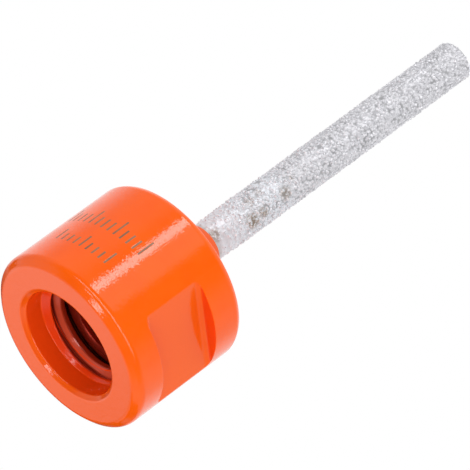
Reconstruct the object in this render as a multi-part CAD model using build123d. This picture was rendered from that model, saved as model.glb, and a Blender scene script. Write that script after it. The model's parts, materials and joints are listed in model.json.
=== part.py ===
from build123d import *
import os
from math import radians, tan

# Diamond finger burr: a steel hub that screws onto a grinder's spindle, and a
# straight steel pin, seated in the hub's neck, that carries a sleeve of brazed
# diamond grit. Millimetres. The origin is the centre of the hub's front face,
# +Z runs along the pin to its tip, and the two wrench flats face +X and -X.

# Hub, turned from round bar
hub_diameter = 27.0
hub_length = 20.0
front_chamfer_width = 1.2
front_chamfer_length = 1.1
rear_chamfer = 1.0

# Stepped socket in the front face: a mouth chamfer, a plain pilot for the
# spindle's shoulder, a lead-in cone, and the hole drilled for a 5/8-11 thread
pilot_diameter = 16.2
pilot_depth = 3.2
mouth_chamfer_width = 0.6
mouth_chamfer_depth = 0.5
tap_drill_diameter = 13.5
tap_drill_depth = 14.0
drill_point_angle = 118.0
lead_in_angle = 90.0

# Two wrench flats, milled across the hub between full round bands
across_flats = 22.3
flat_start = 4.8
flat_width = 10.0
flat_corner_radius = 0.8

# Neck behind the hub, tapered, which holds the pin
neck_length = 6.2
neck_base_diameter = 9.0
neck_tip_diameter = 6.5
neck_root_radius = 0.8
socket_web = 1.2

# Pin and its grit sleeve
pin_diameter = 5.0
pin_chamfer = 0.4
coated_length = 51.2
grit_thickness = 0.5
tip_radius = 0.8

hub_radius = hub_diameter / 2
mouth_radius = pilot_diameter / 2 + mouth_chamfer_width
neck_end_z = hub_length + neck_length
tip_z = neck_end_z + coated_length
lead_in_depth = (pilot_diameter - tap_drill_diameter) / 2 / tan(radians(lead_in_angle / 2))
drill_point_depth = tap_drill_diameter / 2 / tan(radians(drill_point_angle / 2))
seat_z = tap_drill_depth + drill_point_depth + socket_web


def turned_blank():
    """Half section of the hub and its neck, turned about the spindle axis."""
    outline = Polyline(
        (mouth_radius, 0),
        (hub_radius - front_chamfer_width, 0),
        (hub_radius, front_chamfer_length),
        (hub_radius, hub_length - rear_chamfer),
        (hub_radius - rear_chamfer, hub_length),
        (neck_base_diameter / 2, hub_length),
        (neck_tip_diameter / 2, neck_end_z),
        (pin_diameter / 2, neck_end_z),
        (pin_diameter / 2, seat_z),
        (0, seat_z),
        (0, tap_drill_depth + drill_point_depth),
        (tap_drill_diameter / 2, tap_drill_depth),
        (tap_drill_diameter / 2, pilot_depth + lead_in_depth),
        (pilot_diameter / 2, pilot_depth),
        (pilot_diameter / 2, mouth_chamfer_depth),
        close=True,
    )
    blank = revolve(Plane.XZ * make_face(outline), Axis.Z)
    neck_root = blank.edges().sort_by_distance((neck_base_diameter / 2, 0, hub_length))[0]
    return fillet(neck_root, neck_root_radius)


def flat_cutter():
    """Block with two rounded corners that leaves one wrench flat, facing +X."""
    depth = hub_diameter
    section = Pos((across_flats + depth) / 2, flat_start + flat_width / 2) * Rectangle(depth, flat_width)
    section = fillet(section.vertices().group_by(Axis.X)[0], flat_corner_radius)
    return extrude(Plane.XZ * section, hub_diameter, both=True)


def adapter_hub():
    hub = turned_blank()
    for turn in (0, 180):
        hub -= Rot(0, 0, turn) * flat_cutter()
    return hub


def burr_core():
    """Pin from the floor of its seat to just under the coated tip."""
    length = tip_z - grit_thickness - seat_z
    pin = Pos(0, 0, seat_z) * Cylinder(
        pin_diameter / 2, length, align=(Align.CENTER, Align.CENTER, Align.MIN)
    )
    return chamfer(pin.edges().filter_by(GeomType.CIRCLE), pin_chamfer)


def diamond_coating(core):
    """Closed sleeve of grit that fits the pin and seats on the neck's end."""
    sleeve = Pos(0, 0, neck_end_z) * Cylinder(
        pin_diameter / 2 + grit_thickness,
        coated_length,
        align=(Align.CENTER, Align.CENTER, Align.MIN),
    )
    sleeve = fillet(sleeve.edges().group_by(Axis.Z)[-1], tip_radius)
    return sleeve - core


core = burr_core()
nodes = {
    "adapter_hub": adapter_hub(),
    "burr_core": core,
    "diamond_coating": diamond_coating(core),
}

os.makedirs("parts", exist_ok=True)
for name, solid in nodes.items():
    export_step(solid, f"parts/{name}.step")
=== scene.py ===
"""Looks of a diamond finger burr: an enamelled steel hub with a threaded socket and two
wrench flats, and a rod covered with diamond grit held in a grey braze.

The part stands on the hub's front face, +Z along the rod. Angles about the axis are
measured from +X, the outward normal of one wrench flat, towards +Y. Lengths are metres."""
import json
import math

import bmesh
import bpy
import numpy as np
from mathutils import Matrix, Quaternion, Vector


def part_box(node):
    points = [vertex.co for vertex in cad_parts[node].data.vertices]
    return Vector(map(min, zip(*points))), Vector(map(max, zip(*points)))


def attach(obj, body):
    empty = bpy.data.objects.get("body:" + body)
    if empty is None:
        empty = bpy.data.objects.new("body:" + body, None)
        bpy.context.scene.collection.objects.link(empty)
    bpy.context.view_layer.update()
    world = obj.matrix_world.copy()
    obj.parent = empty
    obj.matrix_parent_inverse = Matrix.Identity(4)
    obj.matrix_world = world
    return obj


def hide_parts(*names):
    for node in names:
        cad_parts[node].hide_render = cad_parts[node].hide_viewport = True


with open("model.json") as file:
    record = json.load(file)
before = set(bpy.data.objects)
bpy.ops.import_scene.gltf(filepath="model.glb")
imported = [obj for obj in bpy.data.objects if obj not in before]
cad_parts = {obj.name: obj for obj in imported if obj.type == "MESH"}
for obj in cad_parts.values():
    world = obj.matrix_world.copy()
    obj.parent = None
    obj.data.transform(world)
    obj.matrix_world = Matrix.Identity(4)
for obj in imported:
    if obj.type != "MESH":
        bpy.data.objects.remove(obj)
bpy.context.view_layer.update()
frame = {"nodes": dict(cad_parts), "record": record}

MM = 0.001
INCH = 25.4 * MM
TURN = 2 * math.pi
BODY = "root"
mounts = {mount["name"]: mount for mount in frame["record"]["mounts"]}


def bore(name):
    """Radius, length and inner end of a bore, from its mount."""
    mount = mounts[name]
    length = mount["dims"]["length_mm"] * MM
    return mount["dims"]["r_mm"] * MM, length, mount["pos_m"][2] + length / 2


def rgb(red, green, blue):
    """Opaque colour of linear values."""
    return (red, green, blue, 1.0)


# Sizes that the frame gives
_, hub_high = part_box("adapter_hub")
core_low, core_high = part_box("burr_core")
_, grit_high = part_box("diamond_coating")
HUB_RADIUS = hub_high.x
NECK_END = hub_high.z
BORE_RADIUS, _, BORE_DEPTH = bore("spindle_thread")
PILOT_RADIUS, PILOT_LENGTH, PILOT_DEPTH = bore("spindle_pilot")
MOUTH_CHAMFER_DEPTH = PILOT_DEPTH - PILOT_LENGTH
FLAT_DISTANCE, _, FLAT_MIDDLE = mounts["wrench_flat_front"]["pos_m"]
CORE_RADIUS = core_high.x
SEAT_FLOOR = core_low.z
CORE_TIP = core_high.z
GRIT_RADIUS = grit_high.x
TIP = grit_high.z

# Sizes of the hub that the frame doesn't give
HUB_LENGTH = 20 * MM
FRONT_CHAMFER_WIDTH = 1.2 * MM
FRONT_CHAMFER_LENGTH = 0.9 * MM
REAR_CHAMFER = 1.0 * MM
REAR_CROWN = 0.15 * MM
MOUTH_CHAMFER_WIDTH = 0.6 * MM
FLAT_WIDTH = 10 * MM
FLAT_CORNER = 0.8 * MM
NECK_BASE_RADIUS = 4.5 * MM
NECK_TIP_RADIUS = 3.25 * MM
DRILL_POINT_ANGLE = math.radians(118)

# How far the round of each edge reaches along its two sides
FACE_EDGE = 0.3 * MM
BODY_EDGE = 0.55 * MM
REAR_EDGE = 0.25 * MM
FLAT_WALL_EDGE = 0.09 * MM
FLAT_RUN_OUT = 0.1 * MM
STEP_EDGE = 0.15 * MM
MOUTH_EDGE = 0.18 * MM
NECK_ROOT = 0.8 * MM
NECK_RIM = 0.25 * MM
SEAT_RIM = 0.05 * MM
SEAT_CORNER = 0.1 * MM
DRILL_EDGE = 0.05 * MM

# Spindle thread, 5/8 inch with 11 turns to the inch, right-handed. The rows are the shares
# of a pitch, to either side of a groove's middle, at which the mesh has a row
THREAD_RADIUS = INCH * 5 / 8 / 2
THREAD_PITCH = INCH / 11
THREAD_FLANK = math.radians(30)
THREAD_START_ANGLE = math.radians(-30)
GROOVE_HALF_FLOOR = THREAD_PITCH / 16
THREAD_FADE = 2.5 * MM
THREAD_EDGE = 0.12 * MM
THREAD_DEEP = BORE_DEPTH - 0.1 * MM
THREAD_MOUTH = PILOT_DEPTH + PILOT_RADIUS - THREAD_RADIUS
CONE_END = PILOT_DEPTH + PILOT_RADIUS - BORE_RADIUS
THREAD_ROWS = (
    0.0, 0.05, 0.0625, 0.08, 0.15, 0.25, 0.32, 0.337,
    0.349, 0.36, 0.371, 0.383, 0.4, 0.45, 0.5,
)

# Meshes. A round takes at most a share of the shorter side next to it, and a guard row
# beside it keeps the rest of the side shaded flat
HUB_COLUMNS = 288
RUN_OUT_DEGREES = np.linspace(-1.5, 1.5, 13)
FLAT_CORNER_DEGREES = np.linspace(0, 90, 10)
FLAT_FLOOR_SHARES = np.array([0, 0.6])
FLAT_WALL_SHARES = np.array([0.02, 0.4, 0.8])
FLAT_WALL_ROUND = 0.35
FLAT_WALL_STEPS = 5
ROUND_SHARE = 0.4
ROUND_STEPS = 4
GUARD = 0.03 * MM
GUARD_SHARE = 0.2
WELD = 1e-7
SLIVER = 1e-8
TINY = 1e-12

# Grit: a sleeve of braze, whose bed is below the grit's outline, and grains on it, which
# are fewer and smaller near the rod's root
TIP_ROUND = 0.55 * MM
SIDE_END = TIP - TIP_ROUND
BRAZE_BED = 0.17 * MM
BED_RADIUS = GRIT_RADIUS - BRAZE_BED
BED_END = TIP - BRAZE_BED
BRAZE_ROWS = 430
BRAZE_COLUMNS = 160
CORNER_STEPS = 13
MOUND_WIDTH = 0.2 * MM
MOUND_HEIGHT = 0.16 * MM
GRAIN_SPACING = 0.43 * MM
GRAIN_ROW_SPACING = 0.9 * GRAIN_SPACING
GRAIN_RADIUS = 0.225 * MM
GRAIN_SHAPES = 4
GRAIN_SIZES = (0.7, 1.2)
GRAIN_STRAY = 0.42
GRAIN_SINK = 0.01 * MM
GRAIN_OFFSETS = (-0.08 * MM, 0.05 * MM)
GRAIN_STRETCH = (0.8, 1.15)
LUMP_UNEVEN = (0.82, 1.12)
ROOT_LENGTH = 5.5 * MM
ROOT_DENSITY = 0.35
ROD_DENSITY = 0.9
ROOT_SIZE = 0.6
END_RINGS = 7
END_STRAY = 0.12 * MM
END_SIZES = (0.7, 1.1)
END_LEAN = 0.95
GRAINS_LOW = NECK_END + 0.02 * MM
GRAINS_HIGH = TIP + 0.05 * MM
SEED = 11

# Ripples of the braze: number of waves, longest wave and height
RIPPLES = (
    (9, 6 * MM, 0.01 * MM),
    (9, 1.1 * MM, 0.007 * MM),
)
RIPPLE_TURNS = 4
RIPPLE_SHORTEST = 0.4

# Colours of the enamel, and tones of it that paint light and shade
ENAMEL = rgb(0.93, 0.106, 0.003)
ENAMEL_CLOUD = rgb(0.95, 0.115, 0.004)
# Tones of painted shade on the face and the flats: the same enamel, toned to how each of them is
# lit
FACE_PAINTED_SHADE = rgb(0.9, 0.105, 0.005)
FLAT_PAINTED_SHADE = rgb(0.91, 0.114, 0.005)
# Painted shade at the foot of the flats' walls
CORNER_PAINTED_SHADE = rgb(0.9, 0.06, 0.003)
NECK_ENAMEL = rgb(0.76, 0.12, 0.03)
# Painted shade on the socket's mouth, painted light on its pilot wall, and painted shade on its
# cone, crests, flanks, deep end and grooves, darkest in the later grooves
MOUTH_PAINTED_SHADE = rgb(0.84, 0.09, 0.004)
PILOT_PAINTED_LIGHT = rgb(0.97, 0.072, 0.004)
CONE_PAINTED_SHADE = rgb(0.84, 0.05, 0.003)
CREST_PAINTED_SHADE = rgb(0.3, 0.026, 0.008)
FLANK_PAINTED_SHADE = rgb(0.64, 0.08, 0.034)
DEEP_PAINTED_SHADE = rgb(0.42, 0.024, 0.007)
FIRST_GROOVE_SHADE = rgb(0.34, 0.04, 0.016)
LATER_GROOVES_SHADE = rgb(0.06, 0.01, 0.005)
MARK_DARK = rgb(0.22, 0.105, 0.05)
MARK_PALE = rgb(0.33, 0.15, 0.07)

# Where each place of the enamel starts and where it is full: a radius for the socket, a
# depth of cut for flank and groove, a distance from a flat's wall for the painted shade in
# its corner, and a height for the others
SOCKET_SPAN = (PILOT_RADIUS + 0.25 * MM, PILOT_RADIUS + 0.1 * MM)
MOUTH_SPAN = (MOUTH_CHAMFER_DEPTH + 0.1 * MM, 0.05 * MM)
PILOT_SPAN = (0.3 * MM, 0.8 * MM)
CONE_SPAN = (PILOT_DEPTH, PILOT_DEPTH + 0.2 * MM)
CREST_SPAN = (CONE_END - 0.1 * MM, CONE_END + 0.1 * MM)
FLANK_SPAN = (0.05 * MM, 0.2 * MM)
GROOVE_SPAN = (0.8 * MM, 1.05 * MM)
DEEP_SPAN = (PILOT_DEPTH + 2.0 * MM, PILOT_DEPTH + 5.0 * MM)
LATER_SPAN = (CONE_END + 0.5 * MM, CONE_END + 2.0 * MM)
NECK_SPAN = (HUB_LENGTH + 1.0 * MM, NECK_END)
CORNER_SHADE_SPAN = (0.1 * MM, 0.03 * MM)
CORNER_SHADE_FOOT = (-0.04 * MM, -0.02 * MM)
CORNER_SHADE_RADIUS = HUB_RADIUS - 0.06 * MM
THREADED_FROM = PILOT_DEPTH + 0.1 * MM
DEEP_SMEAR = 1.0 * MM
FACE_SKIN = 0.05 * MM
FLAT_SKIN = 0.03 * MM

# How far a place's colour covers, and how rough and how bare of enamel a place is
CREST_COVER = 0.9
NECK_COVER = 0.8
MARK_TONES = (0.35, 0.65)
MARK_ROUGHNESS = 0.45
DEEP_ROUGHNESS = 0.3
GROOVE_ROUGHNESS = 0.5
DEEP_BARE = 0.6

# Rows of graduation marks: foot, tall and short heights in mm, first and last angle and
# step in degrees. A stroke fades between two shares of its width
MARK_ROWS = (
    (9.9, 3.0, 1.9, -66.0, -126.0, 5.0),
    (5.4, 2.4, 1.5, -74.0, -114.0, 5.0),
)
MARK_STROKE = 0.3 * MM
MARK_FADE = (0.62 * MARK_STROKE, 0.38 * MARK_STROKE)
TALL_EVERY = 4.0

# Colours of the braze, the grains and the pin
BRAZE_DARK = rgb(0.58, 0.577, 0.61)
BRAZE_PALE = rgb(0.84, 0.835, 0.87)
BRAZE_PATCH = rgb(0.88, 0.875, 0.915)
BRAZE_NEAR_HUB = rgb(0.86, 0.91, 0.97)
# Painted shade in the braze's pits
BRAZE_PIT_SHADE = rgb(0.38, 0.38, 0.395)
BRAZE_STAIN = rgb(0.3, 0.24, 0.19)
BRAZE_RING = rgb(0.42, 0.42, 0.38)
GRAIN_DARK = rgb(0.52, 0.52, 0.545)
GRAIN_PALE = rgb(0.88, 0.875, 0.91)
GRAIN_STAIN = rgb(0.36, 0.29, 0.22)
STEEL_DARK = rgb(0.5, 0.5, 0.51)
STEEL_PALE = rgb(0.62, 0.62, 0.63)

# Where the braze is clear of the painted shade in its pits, by radius, and where, by height,
# it is smooth, paler and ringed near the hub, and how far each covers
PIT_SHADE_SPAN = (BED_RADIUS - 0.02 * MM, BED_RADIUS + 0.07 * MM)
SMOOTH_SPAN = (NECK_END + 13 * MM, NECK_END + 3 * MM)
SMOOTH_COVER = 0.85
NEAR_HUB_SPAN = (NECK_END + 17 * MM, NECK_END + 12 * MM)
NEAR_HUB_COVER = 0.55
RING_SPAN = (NECK_END + 1.0 * MM, NECK_END + 0.2 * MM)
RING_COVER = 0.5
PATCH_COVER = 0.25

# Heat stains on the rod: height in mm, angle in degrees, reach in mm and strength. A stain
# is full within a share of its reach
STAINS = (
    (26.9, -52.0, 1.5, 0.8),
    (33.3, -20.0, 1.7, 1.0),
    (35.4, -23.0, 1.3, 0.8),
    (34.5, -70.0, 1.1, 0.5),
    (36.7, -78.0, 0.9, 0.45),
    (40.0, -29.0, 1.5, 0.7),
    (42.1, -54.0, 0.6, 0.6),
)
STAIN_CORE = 0.2

# Noises: scale to the metre, detail and roughness
SMUDGE = (500.0, 4.0, 0.55)
PEEL = (1500.0, 2.0, 0.4)
RAGGED = (4500.0, 2.0, 0.6)
BRAZE_SKIN = (4500.0, 3.0, 0.55)
FACET_SKIN = (6000.0, 2.0, 0.55)
TURNING_DETAIL = (2.0, 0.5)

# Speckles: a noise, and the two of its values that become nothing and full
CLOUD = ((260.0, 3.0, 0.55), (0.3, 0.7))
ENAMEL_SHEEN = ((900.0, 2.0, 0.55), (0.3, 0.7))
BRAZE_FLECK = ((1800.0, 3.0, 0.6), (0.35, 0.65))
BRAZE_PATCHES = ((330.0, 3.0, 0.6), (0.38, 0.62))
BRAZE_SHEEN = ((2500.0, 3.0, 0.55), (0.3, 0.7))
GRAIN_FLECK = ((2400.0, 2.0, 0.55), (0.36, 0.62))
GRAIN_SHEEN = ((3000.0, 3.0, 0.55), (0.35, 0.65))
STAIN_BREAK = ((2600.0, 3.0, 0.7), (0.38, 0.56))

# Plain values of each finish, and its roughness from the least to the most
ENAMEL_IOR = 1.5
BRAZE_METAL = {"Metallic": 0.3, "Specular_IOR_Level": 0.1}
GRAIN_METAL = {"Metallic": 0.2, "Specular_IOR_Level": 0.1}
ENAMEL_ROUGHNESS = (0.08, 0.12)
BRAZE_ROUGHNESS = (0.3, 0.5)
GRAIN_ROUGHNESS = (0.26, 0.46)
STEEL_ROUGHNESS = (0.25, 0.4)
STEEL_LIMITS = (0.3, 0.7)

# Relief of each finish: strength and height
TURNING_RELIEF = (0.35, 0.012 * MM)
PEEL_RELIEF = (0.3, 0.012 * MM)
ETCHED_RELIEF = (0.4, 0.02 * MM)
BRAZE_RELIEF = (0.75, 0.03 * MM)
FACET_RELIEF = (0.5, 0.02 * MM)
STEEL_RELIEF = (0.3, 0.01 * MM)

# Marks of turning: scale to the metre in the enamel and on the pin, how a place is squeezed
# for the noise, and how far the enamel's normal leans
ENAMEL_TURNING = 5200.0
STEEL_TURNING = 9000.0
TURNING_SQUEEZE = (0.22, 0.22, 1.0)
TILT_SQUEEZE = (1.0, 1.0, 0.8)
TILT_AMOUNT = 0.21

# Photograph's view, from a camera fitted to the hub's outline
VIEW_TARGET = Vector((1.078, 0.969, 31.178)) * MM
VIEW_DISTANCE = 667.6 * MM
VIEW_AZIMUTH = math.radians(-48.35)
VIEW_ELEVATION = math.radians(-30.43)
VIEW_ROLL = math.radians(53.65)
VIEW_LENS = 375.0
VIEW_REACH = 10.0
SENSOR = 36.0

# Lamps, as seen from the camera in (right, up, towards the camera): the name, the direction
# to the lamp, the direction of its long side, its two sizes in metres, its brightness
# against white, and whether it lights the surfaces or only shows in their gloss: the corner
# card along the hub's front corner, the cone card in the socket's lead-in cone, and the
# edge card where an edge is rounded
LAMP_DISTANCE = 0.9
LAMPS = (
    ("top_box", (0.36, 0.86, 0.362), (0.47, 0.17, -0.865), 0.145, 0.5, 6.7, True),
    ("corner_card", (-0.68, -0.312, 0.664), (-0.44, -0.45, -0.78), 0.13, 0.42, 6.3, False),
    ("cone_card", (-0.65, -0.03, 0.76), (0.2, 0.89, 0.4), 0.1, 0.14, 5.0, False),
    ("edge_card", (0.03, 0.03, 1.0), (0.6, -0.8, 0.0), 0.24, 2.2, 4.0, False),
)

# Light of the surroundings, in (right, up, away from the camera). Soft light is a level, a
# lean along each axis, and patches. Reflections are two equal steps, from white behind the
# part to black on the camera's side, and cards. A patch or card has a direction, the
# cosines of its outer and inner edge, and the brightness it adds
SOFT_LEVEL = 1.1
SOFT_LEAN = (0.38, 0.4, 0.13)
SOFT_PATCHES = (
    ((0.5, 0.2, -0.84), 0.2, 1.0, -0.65),  # dim, in front at the right
    ((-0.05, -0.65, -0.75), 0.2, 1.0, 1.0),  # bright, in front and below
    ((-0.593, 0.805, 0.2), 0.5, 1.0, -0.65),  # dim, beside the rod at the upper left
    ((0.593, -0.805, 0.3), 0.55, 1.0, -0.75),  # dim, beside the rod at the lower right
)
MIRROR_STEPS = ((-0.4, 0.0), (0.4, 0.8))
MIRROR_CARDS = (
    ((-0.7, -0.52, 0.49), 0.9, 0.94, 0.53),  # pale, behind at the lower left
    ((-0.333, -0.745, 0.573), 0.89, 0.93, -0.65),  # dark, behind and below
    ((0.811, -0.474, 0.344), 0.96, 0.985, 0.16),  # pale, for the wrench flat
    ((-0.73, 0.1, 0.68), 0.987, 0.996, -0.85),  # dark, for the socket's mouth
    ((0.56, 0.69, -0.46), 0.955, 0.99, 0.9),  # pale, about the bright streak
    ((-0.42, -0.31, 0.85), 0.88, 0.95, -0.9),  # dark, behind at the left
)

# Floor
FLOOR_REACH = 1.5
FLOOR_DROP = 0.02 * MM
FLOOR_TONE = rgb(0.86, 0.86, 0.86)
FLOOR_ROUGHNESS = 0.9


def grid_mesh(name, points):
    """Smooth mesh of a grid of points, rows by columns, whose last column repeats its first.
    Each four neighbouring points make one quad. Points that coincide are then welded, which
    closes the seam and the poles, and the faces are turned to point outwards, by the sign of
    the volume that they enclose."""
    rows, columns, _ = points.shape
    index = np.arange(rows * columns).reshape(rows, columns)
    quads = np.stack([index[:-1, :-1], index[:-1, 1:], index[1:, 1:], index[1:, :-1]], -1)
    mesh = bpy.data.meshes.new(name)
    mesh.from_pydata(points.reshape(-1, 3), [], quads.reshape(-1, 4).tolist())
    work = bmesh.new()
    work.from_mesh(mesh)
    bmesh.ops.remove_doubles(work, verts=work.verts, dist=WELD)
    bmesh.ops.dissolve_degenerate(work, edges=work.edges, dist=SLIVER)
    if work.calc_volume(signed=True) < 0:
        bmesh.ops.reverse_faces(work, faces=work.faces)
    work.to_mesh(mesh)
    work.free()
    mesh.polygons.foreach_set("use_smooth", np.ones(len(mesh.polygons), bool))
    mesh.update()
    return mesh


def add_piece(name, mesh, material, node):
    """Object of a finished mesh, riding on the part's one body."""
    piece = bpy.data.objects.new(name, mesh)
    bpy.context.scene.collection.objects.link(piece)
    mesh.materials.append(material)
    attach(piece, BODY)
    if node:
        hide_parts(node)


def around(section, angle):
    """Points (r cos a, r sin a, z) of a section line carried around Z, for a section of
    (z, r) pairs, rows by columns, and one angle a for each column."""
    z, r = section[..., 0], section[..., 1]
    return np.stack([r * np.cos(angle), r * np.sin(angle), z], -1)


def rounded(a, corner, b, steps):
    """Points of a rounded corner c, from a to b: (1-t)^2 a + 2t(1-t) c + t^2 b."""
    shares = np.linspace(0, 1, steps + 1)
    return [(1 - t) ** 2 * a + 2 * t * (1 - t) * corner + t ** 2 * b for t in shares]


def eased(corners, cuts):
    """Section line whose inner corners are rounded, each between the points at the cut's
    distance from it on its two sides, with a guard point just outside each of them. A cut
    shrinks to nothing where a step in the section does."""
    rows = [corners[0]]
    for k, cut in enumerate(cuts, start=1):
        corner = corners[k]
        sides = np.stack([corners[k - 1] - corner, corners[k + 1] - corner])
        lengths = np.maximum(np.linalg.norm(sides, axis=-1, keepdims=True), TINY)
        before, after = sides / lengths
        reach = np.minimum(cut, ROUND_SHARE * lengths.min(axis=0))
        spare = np.minimum(GUARD, GUARD_SHARE * reach)
        a = corner + before * reach
        b = corner + after * reach
        rows += [a + before * spare, *rounded(a, corner, b, ROUND_STEPS), b + after * spare]
    rows.append(corners[-1])
    return np.array(rows)


def corner_rows(pairs, columns):
    """Corner array, corners by columns by (z, r), from pairs whose values may be numbers or
    one value for each column."""
    return np.array([np.stack([np.broadcast_to(v, columns) for v in pair], -1) for pair in pairs])


def soft_least(a, b, blend):
    """Smaller of a and b, with the crossing rounded: min(a, b) - h^2 blend / 4, where
    h = max(blend - |a - b|, 0) / blend."""
    h = np.maximum(blend - np.abs(a - b), 0) / blend
    return np.minimum(a, b) - h * h * blend / 4


def flat_radius(angle):
    """Radius of the hub at the middle of its two flats: the flat's distance from the axis
    divided by |cos a|, or the round body where that is nearer."""
    reach = FLAT_DISTANCE / np.maximum(np.abs(np.cos(angle)), TINY)
    return soft_least(reach, np.full_like(reach, HUB_RADIUS), FLAT_RUN_OUT)


def hub_angles():
    """Even angles all round, with finer ones about the four lines where a flat runs out."""
    run_out = math.acos(FLAT_DISTANCE / HUB_RADIUS)
    lines = [run_out, math.pi - run_out, math.pi + run_out, TURN - run_out]
    angles = [np.linspace(0, TURN, HUB_COLUMNS + 1)]
    angles = angles + [line + np.radians(RUN_OUT_DEGREES) for line in lines]
    return np.unique(np.round(np.concatenate(angles), 9))


def flat_rows(angle):
    """Section of the hub from the middle of a flat to the round body past its end, as rows
    by columns of (distance from the flat's middle along the axis, radius). The cutter has a
    straight edge, a quarter round and a side at a right angle. A point at a distance q along
    this outline stands x off the axis, so its radius is x times the flat's own radius over
    the flat's distance. Where that is the hub's radius, the outline ends in a rounded edge."""
    straight = FLAT_WIDTH / 2 - FLAT_CORNER
    widen = flat_radius(angle) / FLAT_DISTANCE
    rise = HUB_RADIUS / widen - FLAT_DISTANCE
    bend = np.arccos(1 - np.minimum(rise, FLAT_CORNER) / FLAT_CORNER)
    top = straight + FLAT_CORNER * bend + np.maximum(rise - FLAT_CORNER, 0)
    edge = np.minimum(FLAT_WALL_EDGE, FLAT_WALL_ROUND * (top - straight))

    def outline(q):
        """Points at distances q along the outline."""
        past = np.clip((q - straight) / FLAT_CORNER, 0, math.pi / 2)
        side = np.maximum(q - straight - FLAT_CORNER * math.pi / 2, 0)
        x = FLAT_DISTANCE + FLAT_CORNER * (1 - np.cos(past)) + side
        return np.stack([np.minimum(q, straight) + FLAT_CORNER * np.sin(past), x * widen], -1)

    def onward(distance):
        """Steps of a distance along the round body."""
        return np.stack([distance, np.zeros_like(distance)], -1)

    floor = np.append(straight * FLAT_FLOOR_SHARES, straight - GUARD)
    corner = straight + FLAT_CORNER * np.radians(FLAT_CORNER_DEGREES)
    wall = corner[-1] + FLAT_WALL_SHARES * (HUB_RADIUS - FLAT_DISTANCE - FLAT_CORNER)
    levels = np.concatenate([floor, corner, wall])
    rows = outline(np.minimum(levels[:, None], top - edge))
    sharp = outline(top)
    sharp[..., 1] = HUB_RADIUS
    end = sharp + onward(edge)
    past = end + onward(np.full_like(edge, GUARD))
    rounding = rounded(outline(top - edge), sharp, end, FLAT_WALL_STEPS)
    return np.concatenate([rows, rounding, [past]])


def thread_climb(angle):
    """Height that the helix has climbed at an angle: one pitch a turn."""
    return THREAD_PITCH * (angle - THREAD_START_ANGLE) / TURN


def thread_radius(z, angle):
    """Wall radius of the threaded hole. The phase is the distance along the axis from the
    middle of the nearest groove. The wall falls from the groove's floor along the flank's
    slope to the drilled hole. The groove grows shallower over the last turns, and the
    lead-in cone, which narrows by as much as it deepens, cuts its mouth."""
    phase = np.abs((z - thread_climb(angle)) % THREAD_PITCH - THREAD_PITCH / 2)
    fall = np.maximum(phase - GROOVE_HALF_FLOOR, 0) / math.tan(THREAD_FLANK)
    depth = (THREAD_RADIUS - BORE_RADIUS) * np.clip((THREAD_DEEP - z) / THREAD_FADE, 0, 1)
    groove = BORE_RADIUS + depth - fall
    wall = -soft_least(-groove, np.full_like(groove, -BORE_RADIUS), THREAD_EDGE)
    wall = np.where(depth > 0, wall, BORE_RADIUS)
    return np.maximum(wall, PILOT_RADIUS + PILOT_DEPTH - z)


def thread_rows(angle):
    """Section of the threaded wall, from its deep end to its mouth. The rows climb with the
    helix, at the same shares of a pitch in each groove, and are held between the ends, so
    there are a few turns more than the wall has."""
    shares = np.unique([share * side for share in THREAD_ROWS for side in (-1, 1)])[1:]
    first = math.floor(THREAD_MOUTH / THREAD_PITCH) - 3
    last = math.ceil(THREAD_DEEP / THREAD_PITCH) + 1
    rows = np.concatenate([number + 0.5 + shares for number in range(first, last)])[::-1]
    z = THREAD_PITCH * rows[:, None] + thread_climb(angle)
    z = np.clip(z, THREAD_MOUTH, THREAD_DEEP)
    return np.stack([z, thread_radius(z, angle)], -1)


def hub_mesh():
    """Closed surface of the hub: one section line, from the drill point on the axis, out
    along the threaded wall and the stepped mouth, over the face, the body with its flats,
    the rear face and the neck, to the floor of the pin's seat, carried around the axis."""
    angle = hub_angles()
    columns = len(angle)
    point = BORE_DEPTH + BORE_RADIUS / math.tan(DRILL_POINT_ANGLE / 2)
    deep = corner_rows([(point, 0), (BORE_DEPTH, BORE_RADIUS), (THREAD_DEEP, BORE_RADIUS)], columns)
    deep = eased(deep, [DRILL_EDGE])
    flat = flat_rows(angle)
    before = flat[::-1] * (-1, 1) + (FLAT_MIDDLE, 0)
    after = flat[1:] + (FLAT_MIDDLE, 0)
    mouth = corner_rows(
        [
            (THREAD_MOUTH, THREAD_RADIUS),
            (PILOT_DEPTH, PILOT_RADIUS),
            (MOUTH_CHAMFER_DEPTH, PILOT_RADIUS),
            (0, PILOT_RADIUS + MOUTH_CHAMFER_WIDTH),
            (0, HUB_RADIUS - FRONT_CHAMFER_WIDTH),
            (FRONT_CHAMFER_LENGTH, HUB_RADIUS),
            (FLAT_MIDDLE - FLAT_WIDTH / 2 - REAR_EDGE, HUB_RADIUS),
        ],
        columns,
    )
    mouth = eased(mouth, [STEP_EDGE, MOUTH_EDGE, MOUTH_EDGE, FACE_EDGE, BODY_EDGE])
    crown_z = HUB_LENGTH - REAR_CHAMFER / 2 + REAR_CROWN
    rear = corner_rows(
        [
            (FLAT_MIDDLE + FLAT_WIDTH / 2 + REAR_EDGE, HUB_RADIUS),
            (HUB_LENGTH - REAR_CHAMFER, HUB_RADIUS),
            (crown_z, HUB_RADIUS - REAR_CHAMFER / 2 + REAR_CROWN),
            (HUB_LENGTH, HUB_RADIUS - REAR_CHAMFER),
            (HUB_LENGTH, NECK_BASE_RADIUS),
            (NECK_END, NECK_TIP_RADIUS),
            (NECK_END, CORE_RADIUS),
            (SEAT_FLOOR, CORE_RADIUS),
            (SEAT_FLOOR, 0),
        ],
        columns,
    )
    rear = eased(rear, [REAR_EDGE] * 3 + [NECK_ROOT, NECK_RIM, SEAT_RIM, SEAT_CORNER])
    section = np.concatenate([deep, thread_rows(angle)[1:-1], mouth, before, after, rear])
    return grid_mesh("adapter_hub_surface", around(section, angle))


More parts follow.
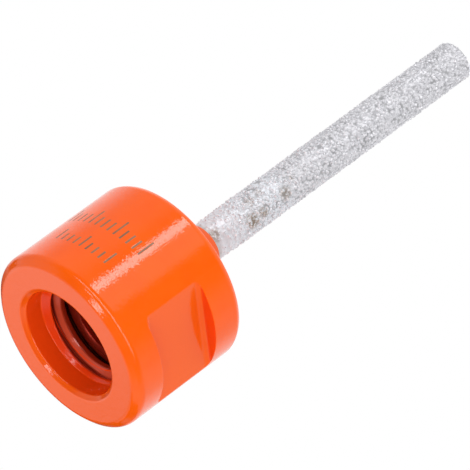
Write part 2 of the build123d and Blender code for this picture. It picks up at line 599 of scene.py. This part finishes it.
def grain_cells(rng):
    """Jittered lattice of grains on the side of the rod: even rows and columns, each grain
    moved by a random share of a step. Gives its height along the axis, its angle, and its
    size as a share of the usual one, small near the root and nothing in a gap."""
    length = SIDE_END - NECK_END
    rows = round(length / GRAIN_ROW_SPACING)
    columns = round(TURN * GRIT_RADIUS / GRAIN_SPACING)
    row, column = np.meshgrid(np.arange(rows), np.arange(columns), indexing="ij")
    along = NECK_END + (row + 0.5 + rng.uniform(-0.5, 0.5, row.shape)) * length / rows
    stagger = rng.uniform(0, 1, (rows, 1))
    turn = (column + stagger + rng.uniform(-GRAIN_STRAY, GRAIN_STRAY, row.shape)) * TURN / columns
    size = rng.uniform(*GRAIN_SIZES, row.shape)
    root = np.clip((along - NECK_END) / ROOT_LENGTH, 0, 1)
    keep = rng.uniform(0, 1, row.shape) < ROOT_DENSITY + (ROD_DENSITY - ROOT_DENSITY) * root
    size = size * keep * (ROOT_SIZE + (1 - ROOT_SIZE) * root)
    return along, turn, size


def ripple(z, angle, rng, waves, longest, height):
    """Sum of a few sine waves over the side of the rod, times the height, over the root of
    their number. Each has a random length and start, and a whole number of turns around the
    rod, so that the surface closes on itself."""
    total = np.zeros_like(z)
    for _ in range(waves):
        turns = rng.integers(-RIPPLE_TURNS, RIPPLE_TURNS + 1)
        along = rng.uniform(RIPPLE_SHORTEST, 1.0) * TURN / longest
        total = total + np.sin(along * z + turns * angle + rng.uniform(0, TURN))
    return total * height / math.sqrt(waves)


def grain_mounds(z, a, cells):
    """Height of the braze about the grains, over a grid of heights and angles: the highest
    mound counts, out of those of the nine nearest cells. A mound stands out by its height
    times the grain's size times exp(-(d / width)^2), with d the distance to the grain."""
    along, turn, size = cells
    rows, columns = along.shape
    cell_row = np.clip(((z - NECK_END) / (SIDE_END - NECK_END) * rows).astype(int), 0, rows - 1)
    cell_column = (a / TURN * columns).astype(int) % columns
    mound = np.zeros_like(z)
    for row_step in (-1, 0, 1):
        for column_step in (-1, 0, 1):
            i = np.clip(cell_row + row_step, 0, rows - 1)
            j = (cell_column + column_step) % columns
            swing = (a - turn[i, j] + math.pi) % TURN - math.pi
            apart = ((z - along[i, j]) ** 2 + (GRIT_RADIUS * swing) ** 2) / MOUND_WIDTH ** 2
            mound = np.maximum(mound, MOUND_HEIGHT * size[i, j] * np.exp(-apart))
    return mound


def braze_mesh(cells, rng):
    """Closed sleeve of braze. Its section runs along the side, around the tip's corner by a
    quarter of an ellipse, over the end to the axis, and back inside along the pin. The side
    stands out by the mounds about the grains and by low ripples."""
    z_side = np.linspace(NECK_END, SIDE_END, BRAZE_ROWS)
    angle = np.linspace(0, TURN, BRAZE_COLUMNS + 1)
    z, a = np.meshgrid(z_side, angle, indexing="ij")
    side = BED_RADIUS + grain_mounds(z, a, cells)
    for waves, longest, height in RIPPLES:
        side = side + ripple(z, a, rng, waves, longest, height)
    round_start = BED_RADIUS - TIP_ROUND
    bend = np.linspace(0, math.pi / 2, CORNER_STEPS + 1)[1:]
    bend_z = SIDE_END + (BED_END - SIDE_END) * np.sin(bend)
    bend_r = round_start + TIP_ROUND * np.cos(bend)
    cap_r = np.linspace(round_start, 0, CORNER_STEPS + 1)[1:]
    closed = [*zip(bend_z, bend_r)] + [(BED_END, r) for r in cap_r]
    pin = [(CORE_TIP, 0), (CORE_TIP, CORE_RADIUS), (NECK_END, CORE_RADIUS), (NECK_END, side[0])]
    section = np.concatenate([np.stack([z, side], -1), corner_rows(closed + pin, len(angle))])
    return grid_mesh("diamond_braze_surface", around(section, angle))


def crystal_shapes(rng):
    """Corners and triangles of a few grain shapes with twelve corners: a cube with its
    corners cut to the middle of each edge, and twenty-sided lumps with uneven corners."""
    signs = np.array([(1, 1), (1, -1), (-1, 1), (-1, -1)], float)
    zero = np.zeros((4, 1))
    cut_cube = np.concatenate(
        [
            np.hstack([signs, zero]),
            np.hstack([signs[:, :1], zero, signs[:, 1:]]),
            np.hstack([zero, signs]),
        ]
    ) / math.sqrt(2)
    golden = (1 + math.sqrt(5)) / 2
    lump = np.concatenate(
        [
            np.hstack([zero, signs * (1, golden)]),
            np.hstack([signs * (1, golden), zero]),
            np.hstack([signs[:, :1] * golden, zero, signs[:, 1:]]),
        ]
    ) / math.hypot(1, golden)
    shapes = []
    for corners in [cut_cube] + [lump] * (GRAIN_SHAPES - 1):
        uneven = rng.uniform(*LUMP_UNEVEN, (len(corners), 1))
        if corners is cut_cube:
            uneven = 1
        work = bmesh.new()
        for corner in corners * uneven:
            work.verts.new(corner)
        bmesh.ops.convex_hull(work, input=work.verts)
        bmesh.ops.triangulate(work, faces=work.faces)
        bmesh.ops.recalc_face_normals(work, faces=work.faces)
        work.verts.index_update()
        triangles = np.array([[v.index for v in face.verts] for face in work.faces])
        points = np.array([v.co for v in work.verts])
        work.free()
        shapes.append((points, triangles))
    return shapes


def turned(points, rng, count):
    """The same points under count random turns, each from a random unit quaternion
    (w, v): p + 2w (v x p) + 2 v x (v x p)."""
    spin = rng.normal(size=(count, 4))
    spin = spin / np.linalg.norm(spin, axis=1, keepdims=True)
    w = spin[:, :1, None]
    v = np.broadcast_to(spin[:, None, 1:], (count, len(points), 3))
    once = np.cross(v, points[None])
    return points[None] + 2 * w * once + 2 * np.cross(v, once)


def end_places(rng):
    """Places of the grains on the rod's end, and their outward directions: rings about the
    axis, one spacing apart, that drop around the tip's corner by R (1 - sqrt(1 - s^2)), with
    R the corner's round and s how far around it the grain is, which is also its lean."""
    steps = np.arange(END_RINGS) + 0.5
    counts = np.round(TURN * steps).astype(int)
    radius = np.repeat(GRAIN_SPACING * steps, counts)
    turn = np.concatenate([np.arange(n) * TURN / n + step for step, n in zip(steps, counts)])
    radius = radius + rng.uniform(-END_STRAY, END_STRAY, len(radius))
    lean = np.clip((radius - BED_RADIUS + TIP_ROUND) / TIP_ROUND, 0, END_LEAN)
    rise = np.sqrt(1 - lean ** 2)
    drop = TIP_ROUND * (1 - rise)
    place = np.stack([radius * np.cos(turn), radius * np.sin(turn), BED_END - drop], -1)
    return place, np.stack([lean * np.cos(turn), lean * np.sin(turn), rise], -1)


def crystal_mesh(cells, rng):
    """Grains of grit: a crystal at each place of the lattice and of the rod's end, sunk in
    the braze by about half. Its corners are those of its shape, turned, stretched, times its
    size, and moved outwards or inwards a little from its place."""
    along, turn, size = (values.ravel() for values in cells)
    bed = BED_RADIUS - GRAIN_SINK
    side_place = np.stack([bed * np.cos(turn), bed * np.sin(turn), along], -1)
    side_out = np.stack([np.cos(turn), np.sin(turn), np.zeros_like(turn)], -1)
    end_place, end_out = end_places(rng)
    place = np.concatenate([side_place, end_place])
    out = np.concatenate([side_out, end_out])
    size = np.concatenate([size, rng.uniform(*END_SIZES, len(end_place))])
    there = size > 0
    place, out, size = place[there], out[there], size[there]
    place = place + out * rng.uniform(*GRAIN_OFFSETS, (len(place), 1))
    kind = rng.integers(0, GRAIN_SHAPES, len(place))
    all_points, all_faces, start = [], [], 0
    for number, (corners, triangles) in enumerate(crystal_shapes(rng)):
        chosen = kind == number
        count = int(chosen.sum())
        stretch = rng.uniform(*GRAIN_STRETCH, (count, 1, 3))
        points = turned(corners, rng, count) * stretch * size[chosen, None, None] * GRAIN_RADIUS
        points = points + place[chosen, None, :]
        faces = triangles[None] + (start + np.arange(count) * len(corners))[:, None, None]
        start += count * len(corners)
        all_points.append(points.reshape(-1, 3))
        all_faces.append(faces.reshape(-1, 3))
    points = np.concatenate(all_points)
    points[:, 2] = np.clip(points[:, 2], GRAINS_LOW, GRAINS_HIGH)
    mesh = bpy.data.meshes.new("diamond_grains_surface")
    mesh.from_pydata(points, [], np.concatenate(all_faces).tolist())
    mesh.update()
    return mesh


class Tree:
    """Short hand for building one node tree."""

    def __init__(self, tree):
        self.tree = tree

    def add(self, kind, inputs=None, **settings):
        """Node of a kind, with its settings, and with each named or numbered input set to a
        value or linked to a socket."""
        node = self.tree.nodes.new(kind)
        for key, value in settings.items():
            setattr(node, key, value)
        for key, value in (inputs or {}).items():
            if isinstance(value, bpy.types.NodeSocket):
                self.tree.links.new(value, node.inputs[key])
            else:
                node.inputs[key].default_value = value
        return node

    def math(self, operation, a, b=0.0, c=0.0):
        """Result of one operation on numbers."""
        return self.add("ShaderNodeMath", {0: a, 1: b, 2: c}, operation=operation).outputs[0]

    def vector(self, operation, a, b=(0, 0, 0)):
        """Node of one operation on vectors."""
        return self.add("ShaderNodeVectorMath", {0: a, 1: b}, operation=operation)

    def product(self, first, *others):
        """Masks multiplied together, so that all of them count."""
        for other in others:
            first = self.math("MULTIPLY", first, other)
        return first

    def highest(self, first, *others):
        """Highest of a few values."""
        for other in others:
            first = self.math("MAXIMUM", first, other)
        return first

    def span(self, value, low, high, to_low=0.0, to_high=1.0):
        """Smooth step from one value at low to another at high, and level beyond them."""
        inputs = {"Value": value, "From Min": low, "From Max": high}
        inputs.update({"To Min": to_low, "To Max": to_high})
        node = self.add("ShaderNodeMapRange", inputs, interpolation_type="SMOOTHSTEP")
        return node.outputs["Result"]

    def noise(self, place, scale, detail, roughness):
        """Noise over a place, between 0 and 1."""
        inputs = {"Vector": place, "Scale": scale, "Detail": detail, "Roughness": roughness}
        return self.add("ShaderNodeTexNoise", inputs).outputs["Fac"]

    def speckle(self, place, pattern, least=0.0, most=1.0):
        """Noise of a pattern, stepped between the two values that the pattern gives."""
        noise, limits = pattern
        return self.span(self.noise(place, *noise), *limits, least, most)

    def blend(self, factor, a, b):
        """Value between a and b."""
        inputs = {"Factor": factor, 2: a, 3: b}
        return self.add("ShaderNodeMix", inputs, data_type="FLOAT").outputs[0]

    def mix(self, factor, a, b):
        """Colour between a and b."""
        inputs = {"Factor": factor, 6: a, 7: b}
        return self.add("ShaderNodeMix", inputs, data_type="RGBA").outputs[2]

    def bump(self, height, strength, distance, normal=None):
        """Normal of a relief, on top of another one if that is given."""
        inputs = {"Height": height, "Strength": strength, "Distance": distance}
        if normal is not None:
            inputs["Normal"] = normal
        return self.add("ShaderNodeBump", inputs).outputs["Normal"]

    def group(self, group, **inputs):
        """Outputs of a node group."""
        return self.add("ShaderNodeGroup", inputs, node_tree=group).outputs

    def parts(self, place):
        """X, Y and Z of a place."""
        return self.add("ShaderNodeSeparateXYZ", {0: place}).outputs

    def off_axis(self, place):
        """Distance of a place from the Z axis."""
        flat_place = self.vector("MULTIPLY", place, (1, 1, 0)).outputs[0]
        return self.vector("LENGTH", flat_place).outputs["Value"]

    def link(self, node, **values):
        """Links values to a node's inputs, whose names have underscores for spaces here."""
        for name, value in values.items():
            self.tree.links.new(value, node.inputs[name.replace("_", " ")])


def new_group(name, inputs, outputs):
    """Empty node group with sockets of names and kinds, as (Tree, its inputs by name, the
    node of its outputs)."""
    tree = bpy.data.node_groups.new(name, "ShaderNodeTree")
    for label, kind, value in inputs:
        socket = tree.interface.new_socket(label, in_out="INPUT", socket_type="NodeSocket" + kind)
        socket.default_value = value
    for label, kind in outputs:
        tree.interface.new_socket(label, in_out="OUTPUT", socket_type="NodeSocket" + kind)
    ends = Tree(tree)
    return ends, ends.add("NodeGroupInput").outputs, ends.add("NodeGroupOutput")


def surface(name, **plain):
    """Material with a Principled shader whose plain values are set on its own sockets, as
    (material, Tree, shader, object coordinates)."""
    material = bpy.data.materials.new(name)
    material.use_nodes = True
    tree = Tree(material.node_tree)
    shader = material.node_tree.nodes["Principled BSDF"]
    for key, value in plain.items():
        shader.inputs[key.replace("_", " ")].default_value = value
    place = tree.add("ShaderNodeTexCoord").outputs["Object"]
    return material, tree, shader, place


def group_turned_grain():
    """Marks of turning: noise drawn out around the axis, because X and Y are scaled much
    less than Z."""
    t, given, out = new_group(
        "turned grain",
        [("Vector", "Vector", (0, 0, 0)), ("Across", "Float", 5000.0)],
        [("Height", "Float")],
    )
    place = t.vector("MULTIPLY", given["Vector"], TURNING_SQUEEZE).outputs[0]
    t.link(out, Height=t.noise(place, given["Across"], *TURNING_DETAIL))
    return t.tree


def group_turned_tilt():
    """Uneven skin: the normal leans to and fro around the axis, by a fine noise, so that a
    highlight along the body has ragged edges. With T the unit tangent (-y, x, 0), k the
    amount and s the noise, it is N + k (s - 0.5) T, made one long."""
    t, given, out = new_group(
        "turned tilt",
        [
            ("Vector", "Vector", (0, 0, 0)),
            ("Normal", "Vector", (0, 0, 1)),
            ("Amount", "Float", 0.2),
        ],
        [("Normal", "Vector")],
    )
    place = t.vector("MULTIPLY", given["Vector"], TILT_SQUEEZE).outputs[0]
    swing = t.math("SUBTRACT", t.noise(place, *RAGGED), 0.5)
    swing = t.math("MULTIPLY", swing, given["Amount"])
    part = t.parts(given["Vector"])
    tangent = t.add("ShaderNodeCombineXYZ", {0: t.math("MULTIPLY", part["Y"], -1.0), 1: part["X"]})
    tangent = t.vector("NORMALIZE", tangent.outputs[0]).outputs[0]
    lean = t.add("ShaderNodeVectorMath", {0: tangent, "Scale": swing}, operation="SCALE").outputs[0]
    total = t.vector("ADD", given["Normal"], lean).outputs[0]
    t.link(out, Normal=t.vector("NORMALIZE", total).outputs[0])
    return t.tree


def group_stain():
    """Brown heat stains: warm patches around a few places on the rod, each fading with the
    distance from it and broken up by noise, and a ring at the root."""
    t, given, out = new_group(
        "heat stain",
        [("Vector", "Vector", (0, 0, 0))],
        [("Mask", "Float"), ("Root", "Float")],
    )
    near = []
    for height, turn, reach, weight in STAINS:
        angle = math.radians(turn)
        spot = (GRIT_RADIUS * math.cos(angle), GRIT_RADIUS * math.sin(angle), height * MM)
        apart = t.vector("DISTANCE", given["Vector"], spot).outputs["Value"]
        near.append(t.span(apart, reach * MM, STAIN_CORE * reach * MM, 0.0, weight))
    broken = t.product(t.highest(*near), t.speckle(given["Vector"], STAIN_BREAK))
    ring = t.span(t.parts(given["Vector"])["Z"], *RING_SPAN)
    t.link(out, Mask=broken, Root=ring)
    return t.tree


def socket_masks(t, z, radius, smudge):
    """Masks of the places in the socket, by name, which get painted light and shade. The cut is
    how much wider the thread is than the lead-in cone or the drilled hole, whichever of the two
    is wider there."""
    socket = t.product(t.span(radius, *SOCKET_SPAN), t.math("LESS_THAN", z, HUB_LENGTH))
    pilot = t.product(socket, t.span(z, *PILOT_SPAN))
    lead_in = t.math("SUBTRACT", PILOT_RADIUS + PILOT_DEPTH, z)
    cut = t.math("SUBTRACT", radius, t.highest(lead_in, BORE_RADIUS))
    threaded = t.product(socket, t.math("GREATER_THAN", z, THREADED_FROM))
    smeared = t.math("MULTIPLY_ADD", smudge, DEEP_SMEAR, z)
    return {
        "pilot": pilot,
        "cone": t.product(pilot, t.span(z, *CONE_SPAN)),
        "crest": t.product(socket, t.span(z, *CREST_SPAN), CREST_COVER),
        "flank": t.product(t.span(cut, *FLANK_SPAN), threaded),
        "deep": t.product(t.span(smeared, *DEEP_SPAN), socket),
        "groove": t.product(t.span(cut, *GROOVE_SPAN), threaded),
    }


def corner_shade_mask(t, z, radius):
    """Mask of painted shade in the corner at the foot of a flat's two walls, by the distance
    from the wall towards the flat's middle."""
    off_middle = t.math("ABSOLUTE", t.math("SUBTRACT", z, FLAT_MIDDLE))
    inward = t.math("SUBTRACT", FLAT_WIDTH / 2, off_middle)
    line = t.product(t.span(inward, *CORNER_SHADE_SPAN), t.span(inward, *CORNER_SHADE_FOOT))
    return t.product(line, t.math("LESS_THAN", radius, CORNER_SHADE_RADIUS))


def etched_mask(t, part):
    """Mask of the etched graduations: rows of short upright marks on the round body, one at
    each multiple of the row's step. The distance around the body from the nearest one is
    under half a stroke, and the height between the row's foot and its top."""
    turn = t.math("ARCTAN2", part["Y"], part["X"])
    rows = []
    for foot, tall, short, first, last, step in MARK_ROWS:
        place = t.math("DIVIDE", t.math("SUBTRACT", turn, math.radians(last)), math.radians(step))
        number = t.math("ROUND", place)
        offset = t.math("ABSOLUTE", t.math("SUBTRACT", place, number))
        arc = t.math("MULTIPLY", offset, math.radians(step) * HUB_RADIUS)
        count = round((first - last) / step)
        is_tall = t.math("LESS_THAN", t.math("MODULO", number, TALL_EVERY), 0.5)
        top = t.math("MULTIPLY_ADD", is_tall, (tall - short) * MM, (foot + short) * MM)
        row = t.product(
            t.span(arc, *MARK_FADE),
            t.math("GREATER_THAN", number, -0.5),
            t.math("LESS_THAN", number, count + 0.5),
            t.math("GREATER_THAN", part["Z"], foot * MM),
            t.math("LESS_THAN", part["Z"], top),
        )
        rows.append(row)
    return t.highest(*rows)


def paint():
    """Glossy orange enamel over turned steel, with plain graduation marks etched through it.
    Painted shade darkens the socket's mouth, cone and thread, most in the grooves and the deep
    end, and the foot of the flats' walls; painted light brightens the pilot wall; and the face
    and the flats get tones of painted shade for how each is lit. Each layer covers the ones
    before it by its mask."""
    material, t, shader, place = surface("orange_enamel", IOR=ENAMEL_IOR)
    part = t.parts(place)
    z = part["Z"]
    radius = t.off_axis(place)
    smudge = t.noise(place, *SMUDGE)
    socket = socket_masks(t, z, radius, smudge)
    on_mouth = t.math("LESS_THAN", radius, PILOT_RADIUS + MOUTH_CHAMFER_WIDTH)
    marks = etched_mask(t, part)
    off_flat = t.math("ABSOLUTE", t.math("SUBTRACT", t.math("ABSOLUTE", part["X"]), FLAT_DISTANCE))
    layers = (
        # Painted light on the pilot wall; painted shade on the cone, the thread's crests, flanks
        # and deep end, and its grooves
        (socket["pilot"], PILOT_PAINTED_LIGHT),
        (socket["cone"], CONE_PAINTED_SHADE),
        (socket["crest"], CREST_PAINTED_SHADE),
        (socket["flank"], FLANK_PAINTED_SHADE),
        (socket["deep"], DEEP_PAINTED_SHADE),
        (socket["groove"], t.mix(t.span(z, *LATER_SPAN), FIRST_GROOVE_SHADE, LATER_GROOVES_SHADE)),
        # Painted shade on the socket's mouth
        (t.product(on_mouth, t.span(z, *MOUTH_SPAN)), MOUTH_PAINTED_SHADE),
        (t.product(t.span(z, *NECK_SPAN), NECK_COVER), NECK_ENAMEL),
        # Painted shade at the foot of the flats' walls
        (corner_shade_mask(t, z, radius), CORNER_PAINTED_SHADE),
        (marks, t.mix(t.span(smudge, *MARK_TONES), MARK_DARK, MARK_PALE)),
        # Painted shade: the face and the flats get their own tones of the enamel, for how each is
        # lit
        (t.math("LESS_THAN", z, FACE_SKIN), FACE_PAINTED_SHADE),
        (t.math("LESS_THAN", off_flat, FLAT_SKIN), FLAT_PAINTED_SHADE),
    )
    colour = t.mix(t.speckle(place, CLOUD), ENAMEL, ENAMEL_CLOUD)
    for mask, tone in layers:
        colour = t.mix(mask, colour, tone)
    roughness = t.highest(
        t.speckle(place, ENAMEL_SHEEN, *ENAMEL_ROUGHNESS),
        t.product(marks, MARK_ROUGHNESS),
        t.product(socket["deep"], DEEP_ROUGHNESS),
        t.product(socket["groove"], GROOVE_ROUGHNESS),
    )
    bare = t.highest(socket["groove"], t.product(socket["deep"], DEEP_BARE))
    turning = t.group(turned_grain, Vector=place, Across=ENAMEL_TURNING)["Height"]
    normal = t.bump(turning, *TURNING_RELIEF)
    normal = t.bump(t.noise(place, *PEEL), *PEEL_RELIEF, normal)
    normal = t.bump(t.math("SUBTRACT", 1.0, marks), *ETCHED_RELIEF, normal)
    normal = t.group(turned_tilt, Vector=place, Normal=normal, Amount=TILT_AMOUNT)["Normal"]
    t.link(shader, Base_Color=colour, Roughness=roughness, Metallic=bare, Normal=normal)
    return material


def braze():
    """Grey nickel braze between the grains: satin and faintly blue, patchy, smooth and paler
    near the hub, with painted shade darkening its pits, and with brown stains."""
    material, t, shader, place = surface("grey_braze", **BRAZE_METAL)
    stain = t.group(heat_stain, Vector=place)
    height = t.parts(place)["Z"]
    smooth = t.span(height, *SMOOTH_SPAN, 0.0, SMOOTH_COVER)
    clear_of_pit_shade = t.highest(t.span(t.off_axis(place), *PIT_SHADE_SPAN), smooth)
    tone = t.mix(t.speckle(place, BRAZE_FLECK), BRAZE_DARK, BRAZE_PALE)
    tone = t.mix(t.product(t.speckle(place, BRAZE_PATCHES), PATCH_COVER), tone, BRAZE_PATCH)
    tone = t.mix(t.span(height, *NEAR_HUB_SPAN, 0.0, NEAR_HUB_COVER), tone, BRAZE_NEAR_HUB)
    # Painted shade: the braze is darker in its pits, less so where it is smooth near the hub
    tone = t.mix(clear_of_pit_shade, BRAZE_PIT_SHADE, tone)
    tone = t.mix(stain["Mask"], tone, BRAZE_STAIN)
    tone = t.mix(t.product(stain["Root"], RING_COVER), tone, BRAZE_RING)
    roughness = t.speckle(place, BRAZE_SHEEN, *BRAZE_ROUGHNESS)
    normal = t.bump(t.noise(place, *BRAZE_SKIN), *BRAZE_RELIEF)
    t.link(shader, Base_Color=tone, Roughness=roughness, Normal=normal)
    return material


def grains():
    """Diamond grains wetted with braze: pale facets, some of them dull."""
    material, t, shader, place = surface("brazed_diamond", **GRAIN_METAL)
    stain = t.group(heat_stain, Vector=place)
    tone = t.mix(t.speckle(place, GRAIN_FLECK), GRAIN_DARK, GRAIN_PALE)
    tone = t.mix(stain["Mask"], tone, GRAIN_STAIN)
    roughness = t.speckle(place, GRAIN_SHEEN, *GRAIN_ROUGHNESS)
    normal = t.bump(t.noise(place, *FACET_SKIN), *FACET_RELIEF)
    t.link(shader, Base_Color=tone, Roughness=roughness, Normal=normal)
    return material


def pin_steel():
    """Ground steel of the hidden pin, with fine marks around it."""
    material, t, shader, place = surface("ground_steel", Metallic=1.0)
    mark = t.group(turned_grain, Vector=place, Across=STEEL_TURNING)["Height"]
    tone = t.mix(mark, STEEL_DARK, STEEL_PALE)
    roughness = t.span(mark, *STEEL_LIMITS, *STEEL_ROUGHNESS)
    t.link(shader, Base_Color=tone, Roughness=roughness, Normal=t.bump(mark, *STEEL_RELIEF))
    return material


def photo_camera():
    """Camera at the photograph's view: about the target, at an azimuth and an elevation, and
    rolled about its line of sight."""
    level = math.cos(VIEW_ELEVATION)
    away = Vector(
        (level * math.cos(VIEW_AZIMUTH), level * math.sin(VIEW_AZIMUTH), math.sin(VIEW_ELEVATION))
    )
    data = bpy.data.cameras.new("photo_camera")
    data.lens = VIEW_LENS
    data.sensor_width = SENSOR
    data.clip_end = VIEW_REACH
    camera = bpy.data.objects.new("photo_camera", data)
    camera.location = VIEW_TARGET + away * VIEW_DISTANCE
    camera.rotation_mode = "QUATERNION"
    camera.rotation_quaternion = (-away).to_track_quat("-Z", "Y") @ Quaternion((0, 0, 1), VIEW_ROLL)
    bpy.context.scene.collection.objects.link(camera)
    bpy.context.scene.camera = camera
    bpy.context.view_layer.update()
    return camera


def lamps(camera):
    """Area lamps about the part. A lamp's power is its brightness times pi times its area."""
    turn = camera.matrix_world.to_3x3()
    for name, direction, long_side, width, length, brightness, lights in LAMPS:
        data = bpy.data.lights.new(name, "AREA")
        data.shape = "RECTANGLE"
        data.size = width
        data.size_y = length
        data.energy = brightness * math.pi * width * length
        lamp = bpy.data.objects.new(name, data)
        away = (turn @ Vector(direction)).normalized()
        across = (turn @ Vector(long_side)).cross(away).normalized()
        axes = Matrix((across, away.cross(across), away)).transposed()
        lamp.location = VIEW_TARGET + away * LAMP_DISTANCE
        lamp.rotation_mode = "QUATERNION"
        lamp.rotation_quaternion = axes.to_quaternion()
        lamp.visible_camera = False
        lamp.visible_diffuse = lights
        bpy.context.scene.collection.objects.link(lamp)


def studio_world(camera):
    """White surroundings: the camera sees plain white, the soft light lights the surfaces,
    and gloss reflects the steps and the cards."""
    world = bpy.data.worlds.new("studio")
    bpy.context.scene.world = world
    world.use_nodes = True
    t = Tree(world.node_tree)
    ray = t.add("ShaderNodeLightPath").outputs
    toward = t.add("ShaderNodeTexCoord").outputs["Generated"]
    turn = camera.matrix_world.to_3x3()

    def share(right, up, away):
        """Cosine of the angle to a direction given in the camera's axes."""
        direction = (turn @ Vector((right, up, -away))).normalized()
        return t.vector("DOT_PRODUCT", toward, tuple(direction)).outputs["Value"]

    def with_spots(light, spots):
        """Light with its patches or cards added, and never below nothing."""
        for direction, outside, inside, brightness in spots:
            spot = t.span(share(*direction), outside, inside, 0.0, brightness)
            light = t.math("ADD", light, spot)
        return t.highest(light, 0.0)

    soft = SOFT_LEVEL
    for axis, lean in zip(((1, 0, 0), (0, 1, 0), (0, 0, 1)), SOFT_LEAN):
        soft = t.math("MULTIPLY_ADD", share(*axis), lean, soft)
    soft = with_spots(soft, SOFT_PATCHES)
    behind = share(0, 0, 1)
    first, second = (t.span(behind, *step, 0.0, 0.5) for step in MIRROR_STEPS)
    mirror = with_spots(t.math("ADD", first, second), MIRROR_CARDS)
    shiny = t.highest(ray["Is Glossy Ray"], ray["Is Transmission Ray"])
    level = t.blend(shiny, soft, mirror)
    level = t.blend(ray["Is Camera Ray"], level, 1.0)
    background = world.node_tree.nodes["Background"]
    background.inputs["Color"].default_value = rgb(1, 1, 1)
    t.link(background, Strength=level)


def studio_floor():
    """Pale floor under the hub, seen only from above, so that the photograph's camera, which
    looks up at the front face, sees past it."""
    sides = [(-1, -1), (1, -1), (1, 1), (-1, 1)]
    corners = [(x * FLOOR_REACH, y * FLOOR_REACH, -FLOOR_DROP) for x, y in sides]
    mesh = bpy.data.meshes.new("studio_floor")
    mesh.from_pydata(corners, [], [(0, 1, 2, 3)])
    floor = bpy.data.objects.new("studio_floor", mesh)
    bpy.context.scene.collection.objects.link(floor)
    material, t, shader, _ = surface("pale_floor", Base_Color=FLOOR_TONE, Roughness=FLOOR_ROUGHNESS)
    from_above = t.math("SUBTRACT", 1.0, t.add("ShaderNodeNewGeometry").outputs["Backfacing"])
    seen = t.product(t.add("ShaderNodeLightPath").outputs["Is Camera Ray"], from_above)
    clear = t.add("ShaderNodeBsdfTransparent").outputs[0]
    both = t.add("ShaderNodeMixShader", {0: seen, 1: clear, 2: shader.outputs[0]}).outputs[0]
    t.link(material.node_tree.nodes["Material Output"], Surface=both)
    mesh.materials.append(material)


turned_grain = group_turned_grain()
turned_tilt = group_turned_tilt()
heat_stain = group_stain()
rng = np.random.default_rng(SEED)
cells = grain_cells(rng)

add_piece("painted_hub", hub_mesh(), paint(), "adapter_hub")
add_piece("brazed_sleeve", braze_mesh(cells, rng), braze(), "diamond_coating")
add_piece("diamond_grains", crystal_mesh(cells, rng), grains(), None)
core = frame["nodes"]["burr_core"]
core.data.materials.clear()
core.data.materials.append(pin_steel())

camera = photo_camera()
lamps(camera)
studio_world(camera)
studio_floor()
bpy.context.scene.view_settings.view_transform = "Standard"
